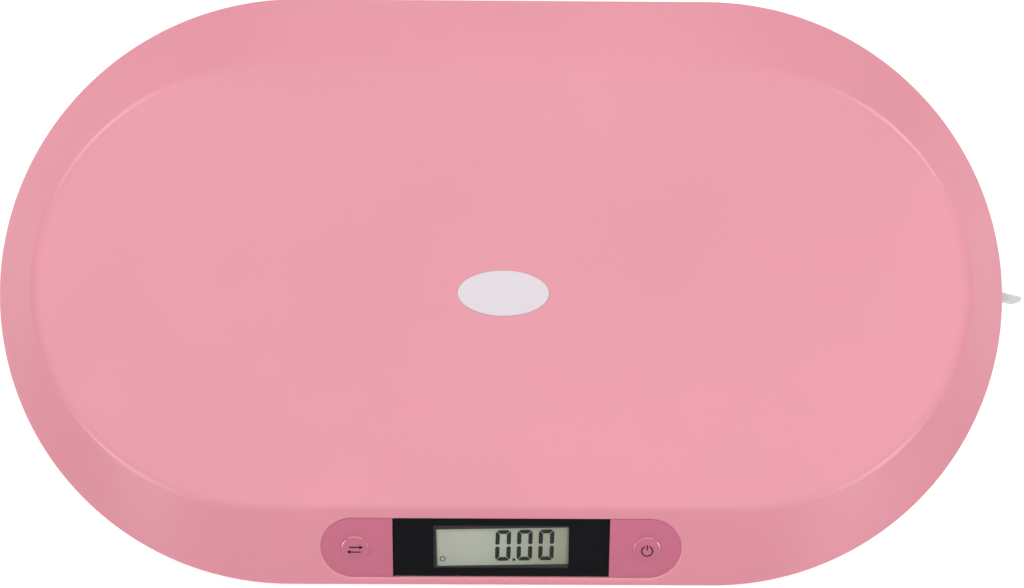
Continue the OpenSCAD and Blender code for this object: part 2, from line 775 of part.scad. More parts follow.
module tape_tab() {
  in_frame() color([0.88, 0.88, 0.89])
    difference() {
      translate([tab_x, tape_y, 0]) rotate([0, 0, -tab_skew]) {
        translate([0, 0, tape_z - 5.6]) linear_extrude(11.2) polygon([[0, -1.2], [tab_l - 6, -1.2], [tab_l - 6, 1.2], [0, 1.2]]);
        translate([0, 0, tape_z - 6.3]) linear_extrude(12.6)
          polygon([
            [tab_l - 11.2, -1.5], [tab_l - 10.6, -2.2], [tab_l - 1.6, -2.2], [tab_l, -0.9],
            [tab_l, 0.9], [tab_l - 1.6, 2.2], [tab_l - 10.6, 2.2], [tab_l - 11.2, 1.5]
          ]);
      }
      block(mouth_x - 1, mouth_x + 5.6, tape_y - tape_t / 2 - 0.03, tape_y + tape_t / 2 + 0.03, 0, 40);
    }
}

module tape_outlet() {
  in_frame() color([0.9, 0.6, 0.66])
    difference() {
      union() {
        block(mouth_x - 12.5, mouth_x, tape_y - 4, tape_y + 4, floor_z + 0.05, base_top - 0.05);
        block(mouth_x - 14, mouth_x - 12.5, tape_y - 6.5, tape_y + 6.5, floor_z + 0.05, base_top - 0.05);
      }
      block(mouth_x - 15, mouth_x + 2, tape_y - 0.9, tape_y + 0.9, tape_low - 0.8, tape_top + 0.8);
    }
}

module tape_case_screws() {
  in_frame() color([0.7, 0.7, 0.72])
    at_reel() for (a = ear_angles)
      rotate([0, 0, a]) translate([ear_r, 0, case_floor + 5.05]) rotate([180, 0, 0]) screw(2, 4, 1.4, 6);
}

module case_screws() {
  in_frame() color([0.7, 0.7, 0.72])
    for (p = screw_pos)
      translate([p[0], p[1], base_z + 8]) screw(2.9, 5.6, 2.2, boss_top - base_z);
}

module sensor_cables() {
  in_frame() color([0.75, 0.75, 0.76])
    for (sx = [-1, 1]) {
      wire([
        [sx * foot_x - 13, -foot_y, 16.4], [sx * (end_x - 5), -foot_y - 8, 16.4], [sx * 52, -end_r + 42, 17],
        [sx * plug_x[0], panel_y + 5.4, panel_z - 15.6]
      ], 1.8);
      wire([
        [sx * foot_x - 13, foot_y, 16.4], [sx * 118, 72, 16.4], [sx * 98, -24, 16.4], [sx * 40, -end_r + 60, 17],
        [sx * plug_x[1], panel_y + 5.4, panel_z - 15.6]
      ], 1.8);
    }
}

module battery_leads() {
  in_frame() color([0.7, 0.15, 0.15])
    for (sx = [-1, 1])
      wire([
        [sx * 4, bay_y - bay_l / 2 - 1.7, 18], [sx * 8, -40, 16.4], [sx * 20, -end_r + 50, 17],
        [sx * (plug_x[1] - 3), panel_y + 4.6, panel_z - 15.6]
      ], 1.4);
}

tray();
base();
center_badge();
control_panel();
display_lens();
lens_mask();
lcd_frame();
lcd_glass();
zebra_strips();
main_board();
cob_chip();
board_connectors();
unit_switch();
tare_switch();
unit_plunger();
tare_plunger();
unit_button();
tare_button();
board_screws();
load_cell_fl();
load_cell_fr();
load_cell_bl();
load_cell_br();
strain_gauges();
foot_fl();
foot_fr();
foot_bl();
foot_br();
foot_pad_fl();
foot_pad_fr();
foot_pad_bl();
foot_pad_br();
battery_door();
battery_1();
battery_2();
battery_3();
battery_4();
battery_springs();
battery_plates();
tape_case_lower();
tape_case_upper();
tape_reel();
tape_coil();
tape_spring();
tape_axle();
tape_blade();
tape_tab();
tape_outlet();
tape_case_screws();
case_screws();
sensor_cables();
battery_leads();
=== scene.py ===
import math

import bmesh
import bpy
from mathutils import Matrix, Vector


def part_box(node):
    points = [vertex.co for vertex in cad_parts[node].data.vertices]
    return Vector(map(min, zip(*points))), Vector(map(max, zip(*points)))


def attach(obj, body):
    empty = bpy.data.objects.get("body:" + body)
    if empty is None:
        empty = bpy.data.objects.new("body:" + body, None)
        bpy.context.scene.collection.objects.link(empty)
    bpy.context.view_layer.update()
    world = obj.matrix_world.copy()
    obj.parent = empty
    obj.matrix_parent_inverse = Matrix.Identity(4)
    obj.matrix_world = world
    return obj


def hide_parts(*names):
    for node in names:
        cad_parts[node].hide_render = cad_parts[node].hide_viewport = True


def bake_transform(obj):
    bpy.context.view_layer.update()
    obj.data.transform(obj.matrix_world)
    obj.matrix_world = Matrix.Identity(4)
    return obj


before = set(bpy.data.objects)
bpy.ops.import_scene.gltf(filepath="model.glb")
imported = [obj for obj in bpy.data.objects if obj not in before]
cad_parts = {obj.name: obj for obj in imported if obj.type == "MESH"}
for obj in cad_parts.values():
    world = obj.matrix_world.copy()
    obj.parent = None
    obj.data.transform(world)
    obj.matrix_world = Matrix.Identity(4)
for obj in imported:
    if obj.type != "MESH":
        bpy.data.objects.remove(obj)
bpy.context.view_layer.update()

# ---- Tray ------------------------------------------------------------------
# The upper shell that the child lies in: one injection moulding in pale pink
# plastic, with a shallow dish, a soft crest line and a sloping skirt all round.
# It drops over the lower shell and is screwed to it from below.
tray_mid = -0.006          # the tape tab stands out at the right, so the tray sits 6 mm left
end_middle = 0.115         # middle of the rounded ends at the rim
end_radius = 0.1625
crest_middle = 0.125       # and along the crest line
crest_reach = 0.1295
crest_side = 0.120
seam_height = 0.0255
shoulder_height = 0.0285
crest_height = 0.048
dish_height = 0.0393
dish_inset = 0.001         # the dish ends this far inside the crest line
dish_steepness = 2.6       # flat in the middle, rising quickly near the crest
shell_wall = 0.0025
rim_round = 0.0007
shoulder_round = 0.0009
crest_round = 0.0005
crest_lift = 0.0002        # lets the rounded crest come up to its height
end_steps = 192            # points round a full turn of the ends


def only(piece):
    """Selects this piece alone and makes it active."""
    if bpy.context.mode != "OBJECT":
        bpy.ops.object.mode_set(mode="OBJECT")
    bpy.ops.object.select_all(action="DESELECT")
    piece.select_set(True)
    bpy.context.view_layer.objects.active = piece


def edit(piece):
    """Opens this piece alone in edit mode."""
    only(piece)
    bpy.ops.object.mode_set(mode="EDIT")


def pick(piece, kind, wanted):
    """Selects the points, edges or faces that pass a test, in edit mode."""
    bpy.ops.mesh.select_mode(type=kind)
    bpy.ops.mesh.select_all(action="DESELECT")
    mesh = bmesh.from_edit_mesh(piece.data)
    parts = {"VERT": mesh.verts, "EDGE": mesh.edges, "FACE": mesh.faces}[kind]
    for part in parts:
        if wanted(part):
            part.select_set(True)
    bmesh.update_edit_mesh(piece.data)


def face_out(piece):
    """Welds the piece and turns its faces outwards."""
    edit(piece)
    bpy.ops.mesh.select_all(action="SELECT")
    bpy.ops.mesh.remove_doubles(threshold=1e-6)
    bpy.ops.mesh.normals_make_consistent(inside=False)
    bpy.ops.object.mode_set(mode="OBJECT")


def modify(piece, kind, **settings):
    """Adds a modifier with these settings and applies it."""
    only(piece)
    modifier = piece.modifiers.new(kind.title(), kind)
    for setting, value in settings.items():
        setattr(modifier, setting, value)
    bpy.ops.object.modifier_apply(modifier=modifier.name)


def cut(piece, cutter):
    """Cuts the cutter's shape out of the piece, and throws the cutter away."""
    face_out(cutter)
    modify(piece, "BOOLEAN", object=cutter, operation="DIFFERENCE", solver="EXACT")
    bpy.data.objects.remove(cutter)


def settle(piece, name, body, slot, finish, *stands_for, smooth=35):
    """Names a finished piece, fixes its place in its mesh and hangs it on its body."""
    only(piece)
    bpy.ops.object.transform_apply(location=True, rotation=True, scale=True)
    bpy.ops.object.shade_smooth_by_angle(angle=math.radians(smooth))
    piece.name = name
    piece.data.name = name
    piece.data.materials.clear()
    piece.data.materials.append(finish)
    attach(piece, body)
    if stands_for:
        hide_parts(*stands_for)


def new_finish(name, roughness=0.5, metallic=0.0):
    """A material with its shader and the piece's own coordinates."""
    finish = bpy.data.materials.new(name)
    finish.use_nodes = True
    tree = finish.node_tree
    shader = tree.nodes["Principled BSDF"]
    shader.inputs["Roughness"].default_value = roughness
    shader.inputs["Metallic"].default_value = metallic
    place = tree.nodes.new("ShaderNodeTexCoord").outputs["Object"]
    return finish, tree, shader, place


def stretched(tree, place, scale=(1, 1, 1), shift=(0, 0, 0)):
    """Coordinates stretched and moved for a pattern."""
    mapping = tree.nodes.new("ShaderNodeMapping")
    mapping.inputs["Scale"].default_value = scale
    mapping.inputs["Location"].default_value = shift
    tree.links.new(place, mapping.inputs["Vector"])
    return mapping.outputs["Vector"]


def mottle(tree, place, scale, detail=3.0):
    """Soft random pattern, 0 to 1."""
    noise = tree.nodes.new("ShaderNodeTexNoise")
    noise.inputs["Scale"].default_value = scale
    noise.inputs["Detail"].default_value = detail
    tree.links.new(place, noise.inputs["Vector"])
    return noise.outputs["Fac"]


def shades(tree, pattern, *stops):
    """Colours laid over a pattern, each stop a position and a colour."""
    ramp = tree.nodes.new("ShaderNodeValToRGB")
    band = ramp.color_ramp
    while len(band.elements) < len(stops):
        band.elements.new(0.5)
    for element, (position, colour) in zip(band.elements, stops):
        element.position = position
        element.color = (*colour, 1.0)
    tree.links.new(pattern, ramp.inputs["Fac"])
    return ramp.outputs["Color"]


def spread(tree, pattern, low, high, start=0.0, stop=1.0):
    """A pattern brought between two values."""
    span = tree.nodes.new("ShaderNodeMapRange")
    span.inputs["From Min"].default_value = start
    span.inputs["From Max"].default_value = stop
    span.inputs["To Min"].default_value = low
    span.inputs["To Max"].default_value = high
    tree.links.new(pattern, span.inputs["Value"])
    return span.outputs["Result"]


def relief(tree, shader, pattern, strength, depth):
    """Small surface relief from a pattern."""
    bump = tree.nodes.new("ShaderNodeBump")
    bump.inputs["Strength"].default_value = strength
    bump.inputs["Distance"].default_value = depth
    tree.links.new(pattern, bump.inputs["Height"])
    tree.links.new(bump.outputs["Normal"], shader.inputs["Normal"])


def tone(colour, factor):
    """A colour made lighter or darker."""
    return tuple(min(1.0, c * factor) for c in colour)


def moulded(name, colour, gloss, grain=0.05, grain_size=1300, vary=0.03):
    """Moulded plastic: faint flow shades, a fine mould grain and uneven gloss."""
    finish, tree, shader, place = new_finish(name)
    flow = mottle(tree, place, scale=7, detail=2)
    tree.links.new(
        shades(tree, flow, (0.3, tone(colour, 1 - vary)), (0.7, tone(colour, 1 + vary))),
        shader.inputs["Base Color"],
    )
    handled = mottle(tree, place, scale=26, detail=4)
    tree.links.new(
        spread(tree, handled, low=gloss - 0.04, high=gloss + 0.06, start=0.3, stop=0.7),
        shader.inputs["Roughness"],
    )
    relief(tree, shader, mottle(tree, place, grain_size, detail=2), strength=grain, depth=0.0001)
    return finish


def skirt_level(share):
    """The level between the crest, 0, and the shoulder, 1."""
    return (
        crest_middle + (end_middle - crest_middle) * share,
        crest_reach + (end_radius - crest_reach) * share,
        crest_side + (end_radius - crest_side) * share,
        crest_height + (shoulder_height - crest_height) * share,
    )


def dish_level(share):
    """The level between the middle of the dish, 0, and the crest, 1."""
    return (
        crest_middle * share,
        (crest_reach - dish_inset) * share,
        (crest_side - dish_inset) * share,
        dish_height + (crest_height - dish_height) * share**dish_steepness,
    )


def rounded(first, corner, last, steps):
    """Levels that round a corner off between two levels."""
    levels = []
    for step in range(steps + 1):
        t = step / steps
        parts = ((1 - t) ** 2, 2 * t * (1 - t), t * t)
        levels.append(tuple(
            sum(part * level[i] for part, level in zip(parts, (first, corner, last))) for i in range(4)
        ))
    return levels


def oblong_shell(levels, straight_steps):
    """A shell pulled level by level from one rounded end, then drawn out and mirrored.
    A level is the end's middle, its reach and side radii, and its height."""
    middle, reach, side, height = levels[0]
    bpy.ops.object.select_all(action="DESELECT")
    bpy.ops.mesh.primitive_circle_add(
        vertices=end_steps, radius=reach, location=(middle, 0, height)
    )
    shell = bpy.context.object
    bpy.ops.object.transform_apply(location=True, rotation=True, scale=True)
    edit(shell)
    pick(shell, "VERT", lambda v: v.co.x < middle - 1e-5)
    bpy.ops.mesh.delete(type="VERT")
    bpy.ops.mesh.select_mode(type="EDGE")
    bpy.ops.mesh.select_all(action="SELECT")
    bpy.ops.transform.resize(value=(1, side / reach, 1), center_override=(middle, 0, height))
    for new_middle, new_reach, new_side, new_height in levels[1:]:
        bpy.ops.mesh.extrude_edges_move(
            TRANSFORM_OT_translate={"value": (new_middle - middle, 0, new_height - height)}
        )
        bpy.ops.transform.resize(
            value=(new_reach / reach, new_side / side, 1),
            center_override=(new_middle, 0, new_height),
        )
        middle, reach, side, height = new_middle, new_reach, new_side, new_height

    def on_straight(point):
        found = Vector((point.co.x, abs(point.co.y), point.co.z))
        ends = (Vector((level[0], level[2], level[3])) for level in levels)
        return any((found - end).length < 2e-6 for end in ends)

    pick(shell, "EDGE", lambda e: e.is_boundary and all(on_straight(v) for v in e.verts))
    for step in range(straight_steps, 0, -1):
        bpy.ops.mesh.extrude_edges_move(TRANSFORM_OT_translate={"value": (0, 0, 0)})
        bpy.ops.transform.resize(value=((step - 1) / step, 1, 1), center_override=(0, 0, 0))
    modify(shell, "MIRROR", use_axis=(True, False, False), use_clip=True, merge_threshold=1e-5)
    return shell


# up the rim, over the shoulder, up the skirt, over the crest, down into the dish
tray_levels = rounded(
    (end_middle, end_radius - rim_round, end_radius - rim_round, seam_height),
    (end_middle, end_radius, end_radius, seam_height),
    (end_middle, end_radius, end_radius, seam_height + rim_round),
    steps=3,
)
tray_levels += rounded(
    (end_middle, end_radius, end_radius, shoulder_height - shoulder_round),
    (end_middle, end_radius, end_radius, shoulder_height),
    skirt_level(0.972),
    steps=5,
)
tray_levels += [skirt_level(share) for share in (0.88, 0.72, 0.55, 0.38, 0.22, 0.1)]
tray_levels += rounded(
    skirt_level(0.07),
    (crest_middle, crest_reach - crest_round, crest_side - crest_round, crest_height + crest_lift),
    dish_level(0.978),
    steps=8,
)
dish_shares = (
    0.96, 0.93, 0.89, 0.84, 0.78, 0.71, 0.64, 0.57, 0.49, 0.41, 0.33, 0.26, 0.19, 0.13, 0.08, 0.04
)
tray_levels += [dish_level(share) for share in dish_shares]
tray = oblong_shell(tray_levels, straight_steps=8)
edit(tray)
pick(tray, "EDGE", lambda e: e.is_boundary and all(v.co.z > shoulder_height for v in e.verts))
bpy.ops.mesh.edge_face_add()
face_out(tray)
modify(tray, "SOLIDIFY", thickness=shell_wall, offset=-1.0, use_even_offset=False)

# the shallow seat of the control panel, with a soft lip
panel_tilt = math.atan2(crest_height - shoulder_height, end_radius - crest_side)
panel_drop = 0.0248        # down the skirt from the crest to the panel's middle
panel_place = Vector((
    tray_mid,
    -(crest_side + panel_drop * math.cos(panel_tilt)),
    crest_height - panel_drop * math.sin(panel_tilt),
))
panel_length = 0.1947
panel_height = 0.0352
panel_face = -0.0005       # below the skirt
panel_back = -0.0029
fit_gap = 0.0001           # between the panel and what it touches
seat_low = -0.012
lip_low = -0.0009
# how far the soft lip spreads and rises, step by step
lip_steps = (
    (0.0001, 0.00035), (0.0002, 0.00025), (0.00035, 0.00018),
    (0.00055, 0.00012), (0.0009, 0.0001), (0.0012, 0.0018),
)


def oblong(length, height, low, high, sides=64):
    """A flat-sided bar with round ends, standing on the panel's own plane."""
    bpy.ops.object.select_all(action="DESELECT")
    bpy.ops.mesh.primitive_circle_add(
        vertices=sides, radius=height / 2, fill_type="NGON", location=(0, 0, low),
        rotation=(0, 0, math.pi / sides),
    )
    bar = bpy.context.object
    bpy.ops.object.transform_apply(location=True, rotation=True, scale=True)
    edit(bar)
    for way in (1, -1):
        pick(bar, "VERT", lambda v: v.co.x * way > 0)
        bpy.ops.transform.translate(value=(way * (length - height) / 2, 0, 0))
    bpy.ops.mesh.select_mode(type="FACE")
    bpy.ops.mesh.select_all(action="SELECT")
    bpy.ops.mesh.extrude_region_move(TRANSFORM_OT_translate={"value": (0, 0, high - low)})
    return bar


def widen(length, height, by, rise):
    """Extrudes the bar's selected end outwards by a margin and up by a rise."""
    bpy.ops.mesh.extrude_region_move(TRANSFORM_OT_translate={"value": (0, 0, rise)})
    bpy.ops.transform.resize(
        value=((length + 2 * by) / length, (height + 2 * by) / height, 1), center_override=(0, 0, 0)
    )
    return length + 2 * by, height + 2 * by


def on_skirt(piece):
    """Lays a piece made flat on the panel's plane, onto the front skirt."""
    piece.rotation_euler = (panel_tilt, 0, 0)
    piece.location = panel_place
    only(piece)
    bpy.ops.object.transform_apply(location=True, rotation=True, scale=True)
    return piece


only(tray)
tray.location = (tray_mid, 0, 0)
bpy.ops.object.transform_apply(location=True, rotation=True, scale=True)
size = (panel_length + fit_gap, panel_height + fit_gap)
recess = oblong(*size, seat_low, lip_low)
for by, rise in lip_steps:
    size = widen(*size, by, rise)
bpy.ops.object.mode_set(mode="OBJECT")
cut(tray, on_skirt(recess))

# the shallow seat of the badge in the middle of the dish
badge_length = 0.0502
badge_breadth = 0.0252
badge_place = (tray_mid + 0.0005, -0.0040)
badge_seat = 0.03895
badge_gap = 0.0003
clear_of_dish = 0.042


def oval(length, breadth, low, high, sides=96):
    """A flat oval plate."""
    bpy.ops.object.select_all(action="DESELECT")
    bpy.ops.mesh.primitive_circle_add(
        vertices=sides, radius=length / 2, fill_type="NGON", location=(*badge_place, low)
    )
    plate = bpy.context.object
    bpy.ops.object.transform_apply(location=True, rotation=True, scale=True)
    edit(plate)
    bpy.ops.mesh.select_all(action="SELECT")
    bpy.ops.transform.resize(value=(1, breadth / length, 1), center_override=(*badge_place, low))
    bpy.ops.mesh.extrude_region_move(TRANSFORM_OT_translate={"value": (0, 0, high - low)})
    bpy.ops.object.mode_set(mode="OBJECT")
    return plate


cut(tray, oval(badge_length + badge_gap, badge_breadth + badge_gap, badge_seat, clear_of_dish))

# the ledge that the panel rests on
ledge_overlap = 0.0032
ledge_thickness = 0.0015
ledge = oblong(
    panel_length + ledge_overlap, panel_height + ledge_overlap, panel_back - ledge_thickness, panel_back
)
bpy.ops.object.mode_set(mode="OBJECT")
face_out(ledge)
opening = oblong(panel_length - 0.008, panel_height - 0.006, -0.02, 0.01)
bpy.ops.object.mode_set(mode="OBJECT")
cut(ledge, opening)
on_skirt(ledge)
only(tray)
ledge.select_set(True)
bpy.ops.object.join()

shell_pink = (0.67, 0.254, 0.313)
shell_finish = moulded("satin_pink_shell", shell_pink, 0.33)
settle(tray, "tray_shell", "scale", "shell_plastic", shell_finish, "tray", smooth=30)
modify(tray, "WEIGHTED_NORMAL", keep_sharp=True, weight=80)

# ---- Lower shell -----------------------------------------------------------
# The slimmer bottom moulding in the same pink: it carries the feet, the battery
# bay and the screw posts, and rises into the tray with a tongue.


def welded_copy(node):
    """A copy of a CAD node with its triangles welded into whole faces."""
    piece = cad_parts[node].copy()
    piece.data = piece.data.copy()
    piece.parent = None
    for key in list(piece.keys()):
        del piece[key]
    bpy.context.scene.collection.objects.link(piece)
    edit(piece)
    bpy.ops.mesh.select_all(action="SELECT")
    bpy.ops.mesh.remove_doubles(threshold=2e-6)
    bpy.ops.mesh.dissolve_limited(angle_limit=math.radians(0.6))
    bpy.ops.object.mode_set(mode="OBJECT")
    return piece


def soften(piece, width, segments=2):
    """Takes the sharp off the edges."""
    modify(
        piece, "BEVEL", width=width, segments=segments, limit_method="ANGLE",
        angle_limit=math.radians(40), use_clamp_overlap=True, harden_normals=False,
    )


base = welded_copy("base")
soften(base, 0.00025)
settle(base, "lower_shell", "scale", "shell_plastic", shell_finish, "base", smooth=30)
modify(base, "WEIGHTED_NORMAL", keep_sharp=True)

# ---- Centre badge ----------------------------------------------------------
# A thin oval plate in pale pinkish grey plastic, glued into a shallow seat in
# the middle of the dish. It is bare.
badge_under = 0.03896
badge_top = 0.039655
badge = oval(badge_length, badge_breadth, badge_under, badge_top)
face_out(badge)
soften(badge, 0.0003, segments=3)
badge_finish = moulded("pale_badge", (0.64, 0.58, 0.625), 0.33, grain=0.03, grain_size=900, vary=0.015)
settle(badge, "centre_badge", "scale", "badge_plate", badge_finish, "center_badge")

# ---- Control panel ---------------------------------------------------------
# A glossy deeper rose plate with round ends, snapped into its seat in the front
# skirt. A wide slot in its middle takes the window, two round holes the keys.
window_length = 0.1173
window_seat = -0.00197     # floor of the window's slot
frame_slot_length = 0.0847
frame_slot_height = 0.029
key_place = 0.079          # out from the panel's middle
key_down = -0.0008
key_width = 0.0155
panel = oblong(panel_length, panel_height, panel_back, panel_face, sides=96)
bpy.ops.object.mode_set(mode="OBJECT")
face_out(panel)


def block(size, place):
    """A plain block to cut or shape from, by its size and middle."""
    bpy.ops.object.select_all(action="DESELECT")
    bpy.ops.mesh.primitive_cube_add(size=1, location=place)
    piece = bpy.context.object
    piece.scale = size
    bpy.ops.object.transform_apply(location=True, rotation=True, scale=True)
    return piece


def rod(width, low, high, place, sides=48):
    """A plain round rod to cut or shape from."""
    bpy.ops.object.select_all(action="DESELECT")
    bpy.ops.mesh.primitive_cylinder_add(
        vertices=sides, radius=width / 2, depth=high - low, location=(*place, (low + high) / 2)
    )
    piece = bpy.context.object
    bpy.ops.object.transform_apply(location=True, rotation=True, scale=True)
    return piece


cut(panel, block((window_length + fit_gap, 0.06, 0.01), (0, 0, window_seat + 0.005)))
cut(panel, block((frame_slot_length, frame_slot_height, 0.02), (0, 0, 0)))
for side in (-1, 1):
    cut(panel, rod(key_width + fit_gap, -0.02, 0.02, (side * key_place, key_down), sides=72))
soften(panel, 0.00015, segments=3)
on_skirt(panel)
panel_rose = (0.525, 0.151, 0.229)
panel_finish = moulded("glossy_rose_panel", panel_rose, 0.12, grain=0.015, grain_size=500, vary=0.02)
settle(panel, "key_panel", "scale", "panel_plastic", panel_finish, "control_panel")

# ---- Window ----------------------------------------------------------------
# A clear acrylic plate let into the panel, printed black on its back except
# for the display's opening. The print is a thin layer of its own.
lens_back = -0.0017
mask_back = -0.00192
mask_gap = 0.00002         # keeps the print just clear of the window's back
opening_length = 0.0732
opening_height = 0.0256

lens = block(
    (window_length, panel_height, panel_face - lens_back), (0, 0, (panel_face + lens_back) / 2)
)
soften(lens, 0.0002, segments=3)
on_skirt(lens)
lens_finish, tree, shader, place = new_finish("clear_window", roughness=0.04)
tree.links.new(
    shades(tree, mottle(tree, place, 12), (0.3, (0.010, 0.011, 0.013)), (0.7, (0.015, 0.016, 0.018))),
    shader.inputs["Base Color"],
)
wiped = mottle(tree, place, 60, detail=4)
tree.links.new(
    spread(tree, wiped, low=0.03, high=0.08, start=0.4, stop=0.8), shader.inputs["Roughness"]
)
shader.inputs["Alpha"].default_value = 0.06
shader.inputs["Specular IOR Level"].default_value = 0.3
lens_finish.surface_render_method = "BLENDED"
settle(lens, "window_lens", "scale", "window", lens_finish, "display_lens")

mask = block(
    (window_length, panel_height, lens_back - mask_back - mask_gap),
    (0, 0, (lens_back + mask_back - mask_gap) / 2),
)
cut(mask, block((opening_length, opening_height, 0.01), (0, 0, 0)))
on_skirt(mask)
mask_finish, tree, shader, place = new_finish("black_print")
tree.links.new(
    shades(tree, mottle(tree, place, 30), (0.3, (0.0045, 0.0045, 0.006)), (0.7, (0.006, 0.006, 0.0075))),
    shader.inputs["Base Color"],
)
tree.links.new(
    spread(tree, mottle(tree, place, 200, detail=4), low=0.28, high=0.4), shader.inputs["Roughness"]
)
shader.inputs["Specular IOR Level"].default_value = 0.25
settle(mask, "window_print", "scale", "window_print", mask_finish, "lens_mask")

# ---- Display ---------------------------------------------------------------
# A grey-green liquid crystal glass held to the board by a dark frame, with a
# plain reading of three seven-segment figures and a small round mark.
glass_front = -0.0031
glass_back = -0.0052
frame_front = -0.0023
frame_back = -0.00845
frame_length = 0.0837
frame_height = 0.0284
reading_turn = math.radians(1.2)     # the reading and its opening are a little out of true
display_frame = block(
    (frame_length, frame_height, frame_front - frame_back), (0, 0, (frame_front + frame_back) / 2)
)
glass_room = block((0.0801, 0.0264, 0.0074), (0, 0, -0.00675))
cut(display_frame, glass_room)
view = block((0.0722, 0.0223, 0.01), (0.0011, -0.0003, 0))
view.rotation_euler = (0, 0, reading_turn)
cut(display_frame, view)
soften(display_frame, 0.00012)
on_skirt(display_frame)
frame_finish = moulded("dark_display_frame", (0.028, 0.028, 0.032), 0.5, grain=0.2, grain_size=2500)
settle(display_frame, "display_frame", "scale", "display_frame", frame_finish, "lcd_frame")

glass_length = 0.0789
glass_height = 0.026
glass = block(
    (glass_length, glass_height, glass_front - glass_back), (0, 0, (glass_front + glass_back) / 2)
)
soften(glass, 0.00015)
on_skirt(glass)
glass_finish, tree, shader, place = new_finish("display_glass", roughness=0.22)
across = tree.nodes.new("ShaderNodeSeparateXYZ")
tree.links.new(place, across.inputs["Vector"])
# painted shade: the glass colour is a little lighter towards its left end and darker towards its right end
painted_shade_across = shades(
    tree,
    spread(tree, across.outputs["X"], low=0.0, high=1.0, start=tray_mid - 0.036, stop=tray_mid + 0.037),
    (0.0, (0.52, 0.54, 0.44)), (0.3, (0.53, 0.56, 0.46)),
    (0.6, (0.45, 0.49, 0.40)), (1.0, (0.37, 0.38, 0.27)),
)
weave = shades(
    tree, mottle(tree, place, 4000, detail=1), (0.35, (0.93, 0.93, 0.93)), (0.65, (1, 1, 1))
)
mix = tree.nodes.new("ShaderNodeMix")
mix.data_type = "RGBA"
mix.blend_type = "MULTIPLY"
mix.inputs[0].default_value = 1.0
tree.links.new(painted_shade_across, mix.inputs[6])
tree.links.new(weave, mix.inputs[7])
tree.links.new(mix.outputs[2], shader.inputs["Base Color"])
settle(glass, "display_glass", "scale", "display", glass_finish, "lcd_glass")

# one nought: an upright and a top bar with mitred corners, mirrored round it
half_width = 0.0042
half_height = 0.00925
stroke = 0.0023
corner_gap = 0.0003
mitre_reach = 0.66 * stroke
mitre_taper = 0.34
film = 0.00004             # thickness of what is shown
upright = block((stroke, 0.0055, film), (half_width - stroke / 2, 0.0039, 0))
edit(upright)
pick(upright, "FACE", lambda f: f.normal.y > 0.9)
bpy.ops.mesh.extrude_region_move(TRANSFORM_OT_translate={"value": (0, mitre_reach, 0)})
bpy.ops.transform.resize(value=(mitre_taper, 1, 1), center_override=(half_width - corner_gap, 0, 0))
pick(upright, "FACE", lambda f: f.normal.y < -0.9)
bpy.ops.mesh.extrude_region_move(TRANSFORM_OT_translate={"value": (0, -0.25 * stroke, 0)})
bpy.ops.transform.resize(value=(0.4, 1, 1), center_override=(half_width - stroke / 2, 0, 0))
modify(upright, "MIRROR", use_axis=(True, True, False))
across_top = block(
    (2 * (half_width - stroke - corner_gap), stroke, film), (0, half_height - stroke / 2, 0)
)
edit(across_top)
for way in (-1, 1):
    pick(across_top, "FACE", lambda f: f.normal.x * way > 0.9)
    bpy.ops.mesh.extrude_region_move(TRANSFORM_OT_translate={"value": (way * mitre_reach, 0, 0)})
    bpy.ops.transform.resize(value=(1, mitre_taper, 1), center_override=(0, half_height - corner_gap, 0))
modify(across_top, "MIRROR", use_axis=(False, True, False))
only(upright)
across_top.select_set(True)
bpy.ops.object.join()
nought = upright
for v in nought.data.vertices:
    v.co.x += 0.04 * v.co.y     # the figures lean a little


def copied(piece, place):
    """A copy of the piece with a mesh of its own, at its new place."""
    only(piece)
    bpy.ops.object.duplicate()
    twin = bpy.context.object
    twin.location = place
    bpy.ops.object.transform_apply(location=True, rotation=True, scale=True)
    return twin


figure_pitch = 0.0117
ring_place = (-0.0447, -0.0075)
left_nought = copied(nought, (-figure_pitch, 0, 0))
right_nought = copied(nought, (figure_pitch, 0, 0))
point = block((0.0015, 0.0014, film), (-0.0060, -0.0086, 0))
ring = rod(0.0031, -film / 2, film / 2, ring_place, sides=40)
cut(ring, rod(0.0022, -0.01, 0.01, ring_place, sides=40))
only(nought)
for mark in (left_nought, right_nought, point, ring):
    mark.select_set(True)
bpy.ops.object.join()
figures = nought
figures.location = (0.01275, 0.00055, glass_front + film / 2)
figures.rotation_euler = (0, 0, reading_turn)
only(figures)
bpy.ops.object.transform_apply(location=True, rotation=True, scale=True)
on_skirt(figures)
figures_finish, tree, shader, place = new_finish("display_figures", roughness=0.45)
speckle = mottle(tree, place, 900, detail=2)
tree.links.new(
    shades(tree, speckle, (0.3, (0.014, 0.015, 0.012)), (0.7, (0.024, 0.026, 0.021))),
    shader.inputs["Base Color"],
)
settle(figures, "display_figures", "scale", "window_print", figures_finish)

# ---- Keys ------------------------------------------------------------------
# Two round push buttons in the panel's own plastic, low domes that a keeper
# flange holds behind the panel. Each presses a small switch on the board.


def turned(levels, sides=72):
    """A solid of round levels, each a radius and a height."""
    radius, height = levels[0]
    bpy.ops.object.select_all(action="DESELECT")
    bpy.ops.mesh.primitive_circle_add(
        vertices=sides, radius=radius, fill_type="NGON", location=(0, 0, height)
    )
    piece = bpy.context.object
    bpy.ops.object.transform_apply(location=True, rotation=True, scale=True)
    edit(piece)
    bpy.ops.mesh.select_mode(type="FACE")
    bpy.ops.mesh.select_all(action="SELECT")
    for new_radius, new_height in levels[1:]:
        bpy.ops.mesh.extrude_region_move(TRANSFORM_OT_translate={"value": (0, 0, new_height - height)})
        spread_out = new_radius / radius
        bpy.ops.transform.resize(value=(spread_out, spread_out, 1), center_override=(0, 0, new_height))
        radius, height = new_radius, new_height
    face_out(piece)
    return piece


